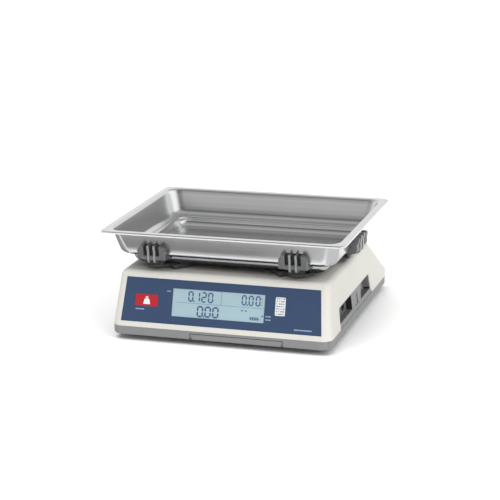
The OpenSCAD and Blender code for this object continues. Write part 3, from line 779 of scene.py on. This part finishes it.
def outline_hatch():
    """Painted shade in the gap round the battery cover's front: a dark line that stands the least bit out."""
    low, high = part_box("battery_cover")
    line = 0.95 * MM
    sunk = 0.2 * MM
    strips = (
        (low.x - line, low.x, low.z, high.z + line),
        (high.x, high.x + line, low.z, high.z + line),
        (low.x, high.x, high.z, high.z + line),
    )
    points, faces = [], []
    for left, right, bottom, top in strips:
        rings = [[(x, low.y + y, z) for x, z in ((left, bottom), (right, bottom), (right, top), (left, top))]
            for y in (sunk, -HAIR / 5)]
        start = len(points)
        part_points, part_faces = bridge(rings)
        points += part_points
        faces += [tuple(start + i for i in face) for face in part_faces]
    piece("hatch_gap_painted_shade", points, faces, BLACK, "base")


# ---- Display and printed marks ----

def display_marks(name, node, right, body):
    """The display's digits, dividing lines, pointers and battery gauge, about the middle of its glass."""
    face = Face(node, right)
    shapes = segment_number("0120", -43.3 * MM, 2.4 * MM, 7.6 * MM, 14.2 * MM, 9.4 * MM, 1.9 * MM)
    shapes += segment_number("000", 32.8 * MM, 2.9 * MM, 7 * MM, 13.8 * MM, 9.8 * MM, 1.8 * MM)
    shapes += segment_number("000", -29.7 * MM, -17.6 * MM, 9.2 * MM, 15.2 * MM, 11 * MM, 2.2 * MM)
    shapes += [
        bar(-60.1 * MM, 0.25 * MM, 125 * MM, 0.3 * MM),
        bar(3.85 * MM, 0.5 * MM, 0.3 * MM, 18 * MM),
        bar(33.1 * MM, -5.2 * MM, 2.6 * MM, 1.6 * MM),
        bar(38.3 * MM, -5.2 * MM, 2.6 * MM, 1.6 * MM),
        bar(45.3 * MM, -16.2 * MM, 13.2 * MM, 0.5 * MM),
        bar(45.3 * MM, -12.4 * MM, 13.2 * MM, 0.5 * MM),
        bar(58.5 * MM, -15.2 * MM, 1 * MM, 1.8 * MM),
        [(62.4 * MM, -8.2 * MM), (64.8 * MM, -9.8 * MM), (62.4 * MM, -11.4 * MM)],
    ]
    shapes += [bar((45.6 + 3.2 * i) * MM, -15.2 * MM, 2.5 * MM, 2.3 * MM) for i in range(4)]
    shapes += [bar(60.5 * MM, (4 + 4.4 * i) * MM, 1.2 * MM, 1.2 * MM) for i in range(3)]
    artwork(name, face, shapes, LCD_INK, body)


def smooth_plate(left, low, width, height, radius):
    """A rectangle with round corners, from its low left corner."""
    outline = round_rect(width / 2, height / 2, radius, 5)
    return moved(outline, left + width / 2, low + height / 2)


def front_marks():
    """Printed plate, sticker and unlettered captions of the customer's panel."""
    face = Face("front_overlay", (1, 0, 0))
    plate = smooth_plate(-122.8 * MM, -8.2 * MM, 32.3 * MM, 16 * MM, 1.2 * MM)
    artwork("front_plate", face, [plate], LABEL_RED, "base")
    weight = [
        [(-5 * MM, -5.4 * MM), (5 * MM, -5.4 * MM), (3.6 * MM, 1.6 * MM), (-3.6 * MM, 1.6 * MM)],
        smooth_plate(-2.1 * MM, 1.6 * MM, 4.2 * MM, 3.6 * MM, 1.6 * MM),
    ]
    middle = (-106.6 * MM, -0.2 * MM)
    sign = [moved(shape, *middle) for shape in weight]
    artwork("front_plate_sign", face, sign, LABEL_WHITE, "base", HAIR)
    hole = moved(round_rect(0.9 * MM, 0.7 * MM, 0.6 * MM, 5), middle[0], middle[1] + 3.5 * MM)
    artwork("front_plate_hole", face, [hole], LABEL_RED, "base", 2 * HAIR)
    sticker = smooth_plate(76.3 * MM, -7.7 * MM, 13.9 * MM, 24.8 * MM, 1.4 * MM)
    artwork("front_sticker", face, [sticker], LABEL_WHITE, "base")
    blocks = []
    for column in range(4):
        for row in range(7):
            width = (1.2 + (row * 5 + column * 3) % 4 * 0.45) * MM
            blocks.append(bar((77.7 + 3 * column) * MM, (-6.2 + 3.4 * row) * MM, width, 1.7 * MM))
    artwork("front_sticker_blocks", face, blocks, LABEL_GREY, "base", HAIR)
    captions = [bar(x * MM, y * MM, width * MM, height * MM) for x, y, width, height in (
        (-122, -13.4, 3.6, 1.4), (-117.6, -13.4, 2.6, 1.4), (-114.2, -13.4, 4.4, 1.4),
        (-78, 13.6, 2.2, 1.3), (-75.2, 13.6, 2.4, 1.3),
        (63.6, -10.6, 2.4, 1.3), (66.6, -10.6, 4.4, 1.3), (63.6, -15, 2.4, 1.3), (66.6, -15, 4.4, 1.3),
    )]
    captions += [bar((104.5 + 3.1 * i) * MM, -25.6 * MM, 2.2 * MM, 1.7 * MM) for i in range(8)]
    artwork("front_captions", face, captions, INK_LIGHT, "base")


def console_marks():
    """Unlettered captions and a fine frame line on the operator's console."""
    face = Face("rear_overlay", (-1, 0, 0))
    glass = Face("rear_lcd_glass", (-1, 0, 0))
    x, y = face.local(glass.origin)
    lines = []
    for start in (-60 * MM, 8 * MM, 36 * MM):
        lines += [bar(x + start + 5 * i * MM, y + 23 * MM, 3.8 * MM, 1.5 * MM) for i in range(4)]
    lines += [bar(x + (-30 + 5 * i) * MM, y - 25.5 * MM, 3.8 * MM, 1.5 * MM) for i in range(5)]
    artwork("console_captions", face, lines, INK_LIGHT, "base")


# ---- Keys ----

KEY_SIZE = (17 * MM, 14.5 * MM)
KEY_CORNER = 2.4 * MM
KEY_SKIRT = 5 * MM
KEY_FILLET = 1.1 * MM
KEY_DISH = 0.35 * MM
# How far the dished top lies below the cap's highest place, where the print is
PRINT_DROP = 0.33 * MM
LEGEND_SIZE = 8.5 * MM


def crowned_block(name, face, centre, size, radius, low, high, fillet, dish, material, body):
    """A key cap: straight sides, a rounded top edge and a shallow dish for the fingertip."""
    half = (size[0] / 2, size[1] / 2)
    levels = [(0, low), (0, high - fillet)]
    for step in range(1, 6):
        angle = math.pi / 2 * step / 5
        levels.append((fillet * (1 - math.cos(angle)), high - fillet + fillet * math.sin(angle)))
    rings = []
    for inset, height in levels:
        outline = round_rect(half[0] - inset, half[1] - inset, max(radius - inset, 0.3 * MM), 6)
        rings.append([face.at(centre[0] + x, centre[1] + y, height) for x, y in outline])
    for share in (0.85, 0.68, 0.5, 0.3, 0.12):
        corner = (radius - 0.6 * fillet) * share
        outline = round_rect((half[0] - fillet) * share, (half[1] - fillet) * share, corner, 6)
        height = high - dish * (1 - share * share)
        rings.append([face.at(centre[0] + x, centre[1] + y, height) for x, y in outline])
    points, faces = bridge(rings)
    return piece(name, points, faces, material, body, 50)


def legend_shapes(text, size):
    """A number from the built-in font as a thin solid about its own middle."""
    curve = bpy.data.curves.new("legend", "FONT")
    curve.body = text
    curve.size = size
    curve.resolution_u = 3
    curve.extrude = HAIR
    curve.align_x = "CENTER"
    curve.align_y = "CENTER"
    holder = bpy.data.objects.new("legend", curve)
    mesh = holder.to_mesh()
    points = [tuple(v.co) for v in mesh.vertices]
    faces = [tuple(p.vertices) for p in mesh.polygons]
    holder.to_mesh_clear()
    bpy.data.objects.remove(holder)
    return points, faces


# Low left corner, width and height of each bar, in millimetres from the key's middle
KEY_SYMBOLS = {
    "key_add": [(-2.4, -0.4, 4.8, 0.8), (-0.4, -2.4, 0.8, 4.8)],
    "key_total": [(-2.4, 0.5, 4.8, 0.8), (-2.4, -1.3, 4.8, 0.8)],
    "key_tare": [
        (-3.2, -1.6, 6.4, 0.8), (-3.2, -1.6, 0.8, 2.4), (2.4, -1.6, 0.8, 2.4), (-0.4, 0.4, 0.8, 2.4),
    ],
    "key_point": [(-0.7, -2.4, 1.4, 1.4)],
}


def make_keys():
    """Dished key caps with their printed numbers and signs."""
    for node in NODES:
        if not node.startswith("key_") or node == "key_mat":
            continue
        face = Face(node, (-1, 0, 0))
        slot = SLOT_OF[node]
        dark = slot == "key_grey"
        cap_name = node + "_cap"
        cap = crowned_block(cap_name, face, (0, 0), KEY_SIZE, KEY_CORNER, -KEY_SKIRT, 0,
            KEY_FILLET, KEY_DISH, SLOT_MATERIALS[slot], BODY_OF[node])
        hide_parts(node)
        ink = LABEL_WHITE if dark else INK_DARK
        height = -PRINT_DROP
        number = node[-1] if node[-1].isdigit() else {"key_zero_set": "0", "key_clear": "00"}.get(node)
        if number:
            points, faces = legend_shapes(number, LEGEND_SIZE)
            placed = [face.at(x, y, height + HAIR + z) for x, y, z in points]
            piece(node + "_legend", placed, faces, ink, BODY_OF[node])
        if node in KEY_SYMBOLS:
            bars = [bar(*(v * MM for v in row)) for row in KEY_SYMBOLS[node]]
            artwork(node + "_sign", face, bars, ink, BODY_OF[node], height, 2 * HAIR)
        if node == "key_zero_set":
            sides = []
            for side in (-1, 1):
                outer, inner = side * 6.2 * MM, side * 4.4 * MM
                sides.append([(outer, 0.9 * MM), (outer, -0.9 * MM), (inner, 0)])
            artwork(node + "_sign", face, sides, ink, BODY_OF[node], height, 2 * HAIR)


# ---- Floor and lights ----

def flat_card(name, low, high, z, material):
    """A level sheet between two corners, which belongs to the studio."""
    mesh = bpy.data.meshes.new(name)
    corners = [(low[0], low[1], z), (high[0], low[1], z), (high[0], high[1], z), (low[0], high[1], z)]
    mesh.from_pydata(corners, [], [(0, 1, 2, 3)])
    mesh.materials.append(material)
    card = bpy.data.objects.new(name, mesh)
    bpy.context.scene.collection.objects.link(card)
    return card


def make_floor():
    """The pale counter that the scale stands on."""
    material, tree, shader = new_material("studio_white")
    drift = noise(tree, 1.5, 1)
    tree.links.new(shade(tree, drift, (0.76, 0.76, 0.76), 0.998, 1.002), shader.inputs["Base Color"])
    shader.inputs["Roughness"].default_value = 0.9
    shader.inputs["Specular IOR Level"].default_value = 0.1
    flat_card("studio_floor", (-14, -14), (14, 14), 0, material)


def flag_grey(name, level):
    """Matt grey card of a given lightness."""
    material, tree, shader = new_material("studio_" + name)
    drift = noise(tree, 2, 1)
    tree.links.new(shade(tree, drift, (level, level, level), 0.98, 1.02), shader.inputs["Base Color"])
    shader.inputs["Roughness"].default_value = 1.0
    return material


def make_flags():
    """Grey cards on the floor and one over the casing, which only mirrored rays see: they shade the steel."""
    material, tree, shader = new_material("studio_flag")
    place = tree.nodes.new("ShaderNodeTexCoord")
    split = tree.nodes.new("ShaderNodeSeparateXYZ")
    tree.links.new(place.outputs["Object"], split.inputs["Vector"])
    lighter = tree.nodes.new("ShaderNodeMath")
    lighter.operation = "MAXIMUM"
    # The near card is dark up to the first place along an axis, and pale from the second
    for slot, (axis, dark, pale) in enumerate((("Y", -0.275, -0.322), ("X", 0.0, 0.18))):
        fade = tree.nodes.new("ShaderNodeMapRange")
        fade.inputs["From Min"].default_value = dark
        fade.inputs["From Max"].default_value = pale
        tree.links.new(split.outputs[axis], fade.inputs["Value"])
        tree.links.new(fade.outputs["Result"], lighter.inputs[slot])
    shades = tree.nodes.new("ShaderNodeValToRGB")
    shades.color_ramp.elements[0].color = (0.03, 0.03, 0.03, 1)
    shades.color_ramp.elements[1].color = (0.55, 0.55, 0.55, 1)
    tree.links.new(lighter.outputs["Value"], shades.inputs["Fac"])
    tree.links.new(shades.outputs["Color"], shader.inputs["Base Color"])
    shader.inputs["Roughness"].default_value = 1.0
    dark, grey, pale = flag_grey("dark", 0.04), flag_grey("grey", 0.2), flag_grey("pale", 0.42)
    over_casing = housing_high.z + 0.4 * MM
    # Name, near left corner, far right corner and look of each card on the floor
    cards = (
        ("studio_flag_near", (-0.8, -0.34), (0.18, -0.238), material),
        ("studio_flag_far", (-0.8, -0.5), (0.18, -0.35), dark),
        ("studio_flag_left", (-0.7, -0.2), (-0.2, 0.3), grey),
        ("studio_flag_right", (0.18, -0.6), (0.8, 0.2), pale),
    )
    over_floor = 1 * MM
    placed = [flat_card(name, low, high, over_floor, look) for name, low, high, look in cards]
    placed.append(flat_card("studio_flag_under", (-0.14, -0.143), (0.14, 0.02), over_casing, dark))
    for card in placed:
        card.visible_camera = False
        card.visible_diffuse = False
        card.visible_shadow = False


def soft_sun(name, azimuth, elevation, strength, softness):
    """A very soft distant light, which doesn't show in the steel.
    Azimuth 0 is in front of the scale and turns towards its right."""
    data = bpy.data.lights.new(name, "SUN")
    data.energy = strength
    data.angle = math.radians(softness)
    light = bpy.data.objects.new(name, data)
    turn, rise = math.radians(azimuth), math.radians(elevation)
    away = Vector((math.sin(turn) * math.cos(rise), -math.cos(turn) * math.cos(rise), math.sin(rise)))
    light.location = object_centre + away
    light.rotation_mode = "QUATERNION"
    light.rotation_quaternion = away.to_track_quat("Z", "Y")
    light.visible_glossy = False
    bpy.context.scene.collection.objects.link(light)


def sky_ramp(tree, height, stops):
    """Brightness of the sky at heights from level, 0, to straight up, 1."""
    ramp = tree.nodes.new("ShaderNodeValToRGB")
    elements = ramp.color_ramp.elements
    while len(elements) < len(stops):
        elements.new(0.5)
    for element, (place, level) in zip(elements, stops):
        element.position = place
        element.color = (level, level, level, 1)
    tree.links.new(height, ramp.inputs["Fac"])
    return ramp.outputs["Color"]


def make_sky():
    """A sky that the steel mirrors, bright behind and to the right, and an even one that lights the rest."""
    world = bpy.data.worlds.new("studio_sky")
    bpy.context.scene.world = world
    world.use_nodes = True
    tree = world.node_tree
    place = tree.nodes.new("ShaderNodeTexCoord")
    split = tree.nodes.new("ShaderNodeSeparateXYZ")
    tree.links.new(place.outputs["Generated"], split.inputs["Vector"])
    behind = sky_ramp(tree, split.outputs["Z"], [(0, 0.95), (0.35, 0.95), (0.7, 0.6), (1, 0.45)])
    front_stops = [(0, 0.95), (0.15, 0.88), (0.31, 0.33), (0.5, 0.1), (1, 0.4)]
    before = sky_ramp(tree, split.outputs["Z"], front_stops)
    turn = tree.nodes.new("ShaderNodeMapRange")
    turn.interpolation_type = "SMOOTHSTEP"
    turn.inputs["From Min"].default_value = -0.75
    turn.inputs["From Max"].default_value = 0.1
    tree.links.new(split.outputs["Y"], turn.inputs["Value"])
    mix = tree.nodes.new("ShaderNodeMix")
    mix.data_type = "RGBA"
    tree.links.new(turn.outputs["Result"], mix.inputs["Factor"])
    tree.links.new(before, mix.inputs["A"])
    tree.links.new(behind, mix.inputs["B"])
    side = tree.nodes.new("ShaderNodeMapRange")
    side.interpolation_type = "SMOOTHSTEP"
    side.inputs["From Min"].default_value = 0.45
    side.inputs["From Max"].default_value = 0.9
    tree.links.new(split.outputs["X"], side.inputs["Value"])
    glow = tree.nodes.new("ShaderNodeMix")
    glow.data_type = "RGBA"
    glow.inputs["B"].default_value = (1.25, 1.25, 1.25, 1)
    tree.links.new(side.outputs["Result"], glow.inputs["Factor"])
    tree.links.new(mix.outputs["Result"], glow.inputs["A"])
    even = sky_ramp(tree, split.outputs["Z"], [(0, 0.2), (0.4, 0.45), (0.7, 0.8), (1, 1.0)])
    path = tree.nodes.new("ShaderNodeLightPath")
    seen = tree.nodes.new("ShaderNodeMix")
    seen.data_type = "RGBA"
    tree.links.new(path.outputs["Is Diffuse Ray"], seen.inputs["Factor"])
    tree.links.new(glow.outputs["Result"], seen.inputs["A"])
    tree.links.new(even, seen.inputs["B"])
    tree.links.new(seen.outputs["Result"], tree.nodes["Background"].inputs["Color"])


def make_lights():
    """The sky, and soft suns that light the matt surfaces without showing in the steel."""
    make_sky()
    soft_sun("key_left", -38, 66, 1.48, 50)
    soft_sun("top", 20, 82, 0.7, 60)
    soft_sun("fill_right", 72, 32, 1.85, 50)
    soft_sun("fill_front", -12, 14, 0.32, 50)


make_camera()
make_floor()
make_flags()
make_lights()
dress_cad_nodes()
make_tray()
dress_moulded_parts()
make_load_cell()
shade_pockets()
outline_hatch()
display_marks("front_display_marks", "front_lcd_glass", (1, 0, 0), "base")
display_marks("rear_display_marks", "rear_lcd_glass", (-1, 0, 0), "base")
front_marks()
console_marks()
make_keys()
bpy.context.scene.view_settings.view_transform = "Standard"
